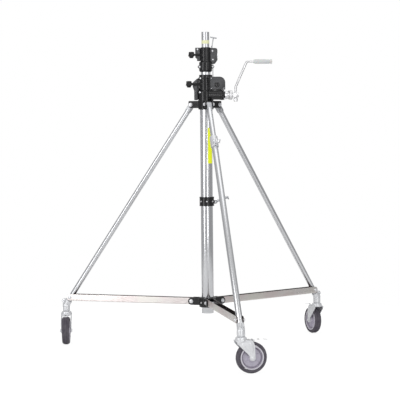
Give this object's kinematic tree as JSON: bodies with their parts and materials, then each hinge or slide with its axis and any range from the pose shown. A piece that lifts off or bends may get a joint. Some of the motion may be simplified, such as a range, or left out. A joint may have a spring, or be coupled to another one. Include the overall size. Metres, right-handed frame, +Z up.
{
  "type": "crank lighting stand",
  "caption": "Tall wind-up lighting stand: telescoping column raised by a side crank winch, folding braced tripod legs on braked swivel casters.",
  "frame": {"origin": "on the floor at the middle of the stand's bounding box; the column's axis is at x 0.0032 m, y 0.1207 m", "axes": "+Z up the column, -Y towards the levelling leg, +X along the crank shaft towards the crank"},
  "size_m": [1.1852, 1.1084, 1.327],
  "materials": {
    "chrome_tube": "polished",
    "black_casting": "satin",
    "satin_plate": "satin",
    "chrome_fitting": "polished",
    "bright_steel": "satin",
    "gear_bronze": "satin",
    "black_plastic": "matte",
    "grip_plastic": "matte",
    "channel_steel": "satin",
    "zinc_plate": "satin",
    "wheel_plastic": "matte",
    "tyre_rubber": "matte",
    "label_yellow": "satin"
  },
  "bodies": {
    "column": {"base_tube": "chrome_tube", "winch_body": "black_casting", "winch_cover": "satin_plate", "winch_side_plate": "satin_plate", "worm_end_cap": "black_casting", "mid_collar": "black_casting", "left_leg_top_bolt": "zinc_plate", "right_leg_top_bolt": "zinc_plate", "front_leg_top_bolt": "zinc_plate"},
    "latch": {"latch_lever": "zinc_plate"},
    "base_lock": {"base_lock_knob": "black_plastic"},
    "crank": {"worm_shaft": "bright_steel", "crank_hub": "chrome_fitting", "crank_arm": "chrome_fitting"},
    "crank_lock": {"crank_lock_knob": "chrome_fitting"},
    "grip": {"crank_grip": "grip_plastic"},
    "drum": {"worm_wheel": "gear_bronze", "cable_drum": "bright_steel"},
    "lower_riser": {"lower_riser_tube": "chrome_tube", "lower_riser_bush": "black_plastic", "riser_collar": "black_casting", "riser_side_plate": "satin_plate", "pulley_cover": "satin_plate", "riser_cable": "bright_steel"},
    "pulley": {"cable_pulley": "bright_steel"},
    "riser_lock": {"riser_lock_knob": "black_plastic"},
    "clamp_screw": {"t_handle": "chrome_fitting"},
    "upper_riser": {"upper_riser_tube": "chrome_tube", "upper_riser_bush": "black_plastic"},
    "hub": {"lower_hub": "black_casting"},
    "left_brace": {"left_brace": "channel_steel", "left_hub_bolt": "zinc_plate", "left_leg_bolt": "zinc_plate"},
    "right_brace": {"right_brace": "channel_steel", "right_hub_bolt": "zinc_plate", "right_leg_bolt": "zinc_plate"},
    "left_leg": {"left_leg_tube": "chrome_tube", "left_caster_socket": "zinc_plate"},
    "right_leg": {"right_leg_tube": "chrome_tube", "right_caster_socket": "zinc_plate"},
    "front_brace": {"front_brace": "channel_steel", "front_hub_bolt": "zinc_plate", "front_leg_bolt": "zinc_plate"},
    "front_leg": {"front_leg_lower_tube": "chrome_tube", "front_leg_upper_tube": "chrome_tube", "levelling_clamp": "zinc_plate", "front_caster_socket": "zinc_plate"},
    "levelling_screw": {"levelling_screw": "zinc_plate"},
    "front_fork": {"front_caster_fork": "zinc_plate"},
    "front_wheel": {"front_wheel_centre": "wheel_plastic", "front_tyre": "tyre_rubber"},
    "front_pedal": {"front_brake_pedal": "zinc_plate"},
    "right_fork": {"right_caster_fork": "zinc_plate"},
    "right_wheel": {"right_wheel_centre": "wheel_plastic", "right_tyre": "tyre_rubber"},
    "right_pedal": {"right_brake_pedal": "zinc_plate"},
    "left_fork": {"left_caster_fork": "zinc_plate"},
    "left_wheel": {"left_wheel_centre": "wheel_plastic", "left_tyre": "tyre_rubber"},
    "left_pedal": {"left_brake_pedal": "zinc_plate"}
  },
  "joints": [
    {"name": "spreader_slide", "type": "slide", "parent": "column", "child": "hub", "axis": [0, 0, 1], "range_m": [0, 0.376]},
    {"name": "front_brace_fold", "type": "hinge", "parent": "hub", "child": "front_brace", "pos_m": [0.00319, 0.05468, 0.201], "axis": [1, 0, 0], "range_deg": [0, 73]},
    {"name": "front_leg_fold", "type": "hinge", "parent": "front_brace", "child": "front_leg", "pos_m": [0.00319, -0.50732, 0.201], "axis": [1, 0, 0], "range_deg": [-48.3, 0]},
    {"name": "right_brace_fold", "type": "hinge", "parent": "hub", "child": "right_brace", "pos_m": [0.06035, 0.15368, 0.201], "axis": [-0.5, 0.866, 0], "range_deg": [0, 73]},
    {"name": "right_leg_fold", "type": "hinge", "parent": "right_brace", "child": "right_leg", "pos_m": [0.54705, 0.43468, 0.201], "axis": [-0.5, 0.866, 0], "range_deg": [-48.3, 0]},
    {"name": "left_brace_fold", "type": "hinge", "parent": "hub", "child": "left_brace", "pos_m": [-0.05397, 0.15368, 0.201], "axis": [-0.5, -0.866, 0], "range_deg": [0, 73]},
    {"name": "left_leg_fold", "type": "hinge", "parent": "left_brace", "child": "left_leg", "pos_m": [-0.54068, 0.43468, 0.201], "axis": [-0.5, -0.866, 0], "range_deg": [-48.3, 0]},
    {"name": "levelling_screw_turn", "type": "hinge", "parent": "front_leg", "child": "levelling_screw", "pos_m": [0.00319, -0.07434, 0.87373], "axis": [1, 0, 0], "range_deg": [0, 360]},
    {"name": "crank_spin", "type": "hinge", "parent": "column", "child": "crank", "pos_m": [0.00319, 0.08668, 1.064], "axis": [1, 0, 0], "range_deg": [0, 40440]},
    {"name": "drum_spin", "type": "hinge", "parent": "column", "child": "drum", "pos_m": [0.04119, 0.12068, 1.1055], "axis": [0, 1, 0], "range_deg": [-5400, 0]},
    {"name": "lower_riser_slide", "type": "slide", "parent": "column", "child": "lower_riser", "axis": [0, 0, 1], "range_m": [0, 0.8], "deforming": ["riser_cable"]},
    {"name": "upper_riser_slide", "type": "slide", "parent": "lower_riser", "child": "upper_riser", "axis": [0, 0, 1], "range_m": [0, 0.8]},
    {"name": "pulley_spin", "type": "hinge", "parent": "lower_riser", "child": "pulley", "pos_m": [0.04469, 0.12068, 1.228], "axis": [0, 1, 0], "range_deg": [0, 4500]},
    {"name": "grip_spin", "type": "hinge", "parent": "crank", "child": "grip", "pos_m": [0.24019, 0.08668, 1.203], "axis": [1, 0, 0], "continuous": true},
    {"name": "crank_lock_turn", "type": "hinge", "parent": "crank", "child": "crank_lock", "pos_m": [0.12319, 0.08668, 1.045], "axis": [0, 0, 1], "range_deg": [0, 360]},
    {"name": "latch_swing", "type": "hinge", "parent": "column", "child": "latch", "pos_m": [0.04019, 0.12068, 0.618], "axis": [0, 1, 0], "range_deg": [0, 62]},
    {"name": "base_lock_turn", "type": "hinge", "parent": "column", "child": "base_lock", "pos_m": [0.00319, 0.12068, 1.11], "axis": [-0.9613, -0.2756, 0], "range_deg": [0, 360]},
    {"name": "riser_lock_turn", "type": "hinge", "parent": "lower_riser", "child": "riser_lock", "pos_m": [0.00319, 0.12068, 1.231], "axis": [-0.9397, -0.342, 0], "range_deg": [0, 360]},
    {"name": "clamp_screw_turn", "type": "hinge", "parent": "lower_riser", "child": "clamp_screw", "pos_m": [0.02919, 0.11668, 1.261], "axis": [0.1692, 0, 0.9856], "range_deg": [0, 360]},
    {"name": "front_caster_swivel", "type": "hinge", "parent": "front_leg", "child": "front_fork", "pos_m": [0.00319, -0.52932, 0.141], "axis": [0, 0, 1], "continuous": true},
    {"name": "front_wheel_spin", "type": "hinge", "parent": "front_fork", "child": "front_wheel", "pos_m": [0.04304, -0.52584, 0.06], "axis": [-0.0872, 0.9962, 0], "continuous": true},
    {"name": "front_brake_press", "type": "hinge", "parent": "front_fork", "child": "front_pedal", "pos_m": [0.04901, -0.52531, 0.126], "axis": [-0.0872, 0.9962, 0], "range_deg": [0, 10]},
    {"name": "right_caster_swivel", "type": "hinge", "parent": "right_leg", "child": "right_fork", "pos_m": [0.5661, 0.44568, 0.141], "axis": [0, 0, 1], "continuous": true},
    {"name": "right_wheel_spin", "type": "hinge", "parent": "right_fork", "child": "right_wheel", "pos_m": [0.55779, 0.4848, 0.06], "axis": [-0.9781, -0.2079, 0], "continuous": true},
    {"name": "right_brake_press", "type": "hinge", "parent": "right_fork", "child": "right_pedal", "pos_m": [0.55654, 0.49067, 0.126], "axis": [-0.9781, -0.2079, 0], "range_deg": [0, 10]},
    {"name": "left_caster_swivel", "type": "hinge", "parent": "left_leg", "child": "left_fork", "pos_m": [-0.55973, 0.44568, 0.141], "axis": [0, 0, 1], "continuous": true},
    {"name": "left_wheel_spin", "type": "hinge", "parent": "left_fork", "child": "left_wheel", "pos_m": [-0.56599, 0.40617, 0.06], "axis": [0.9877, -0.1564, 0], "continuous": true},
    {"name": "left_brake_press", "type": "hinge", "parent": "left_fork", "child": "left_pedal", "pos_m": [-0.56693, 0.40024, 0.126], "axis": [0.9877, -0.1564, 0], "range_deg": [0, 10]}
  ],
  "couplings": [
    {"joint": "front_brace_fold", "follows": "spreader_slide", "rad_per_m": 3.3868},
    {"joint": "front_leg_fold", "follows": "spreader_slide", "rad_per_m": -2.2369},
    {"joint": "right_brace_fold", "follows": "spreader_slide", "rad_per_m": 3.3868},
    {"joint": "right_leg_fold", "follows": "spreader_slide", "rad_per_m": -2.2369},
    {"joint": "left_brace_fold", "follows": "spreader_slide", "rad_per_m": 3.3868},
    {"joint": "left_leg_fold", "follows": "spreader_slide", "rad_per_m": -2.2369},
    {"joint": "drum_spin", "follows": "crank_spin", "ratio": -0.13333},
    {"joint": "lower_riser_slide", "follows": "crank_spin", "m_per_rad": 0.0011333},
    {"joint": "upper_riser_slide", "follows": "crank_spin", "m_per_rad": 0.0011333},
    {"joint": "pulley_spin", "follows": "crank_spin", "ratio": 0.11111}
  ]
}
